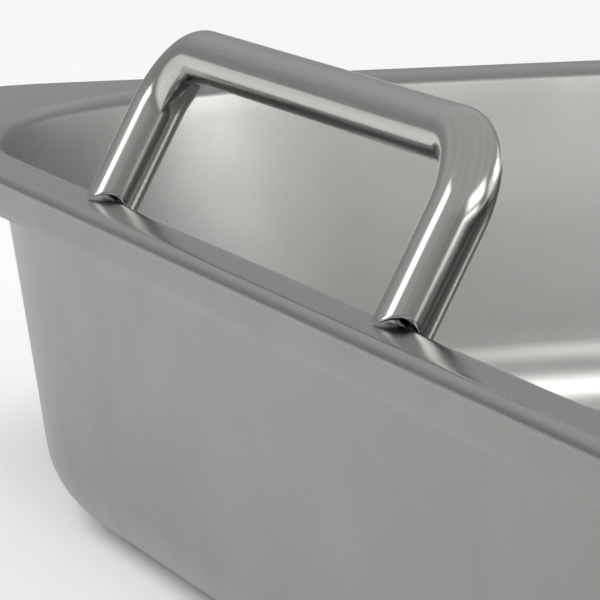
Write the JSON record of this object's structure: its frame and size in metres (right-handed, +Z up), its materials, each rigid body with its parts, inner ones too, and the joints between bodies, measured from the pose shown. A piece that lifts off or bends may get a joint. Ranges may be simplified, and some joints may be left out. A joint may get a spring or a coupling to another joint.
{
  "type": "developing tray",
  "caption": "Deep-drawn stainless steel darkroom tray with rounded corners, a flat folded rim and bent-rod carrying handles welded over its short ends.",
  "frame": {"origin": "middle of the underside, on the plane that the tray stands on", "axes": "+Z up, X along the long side with the handles over the ends at -X and +X, Y along the short side"},
  "size_m": [0.6526, 0.5426, 0.1191],
  "materials": {
    "satin_steel": "satin",
    "bright_steel": "polished",
    "weld_steel": "satin"
  },
  "bodies": {
    "root": {"tray_shell": "satin_steel", "handle_left": "bright_steel", "handle_right": "bright_steel", "weld_left_front": "weld_steel", "weld_left_back": "weld_steel", "weld_right_front": "weld_steel", "weld_right_back": "weld_steel"}
  },
  "joints": []
}
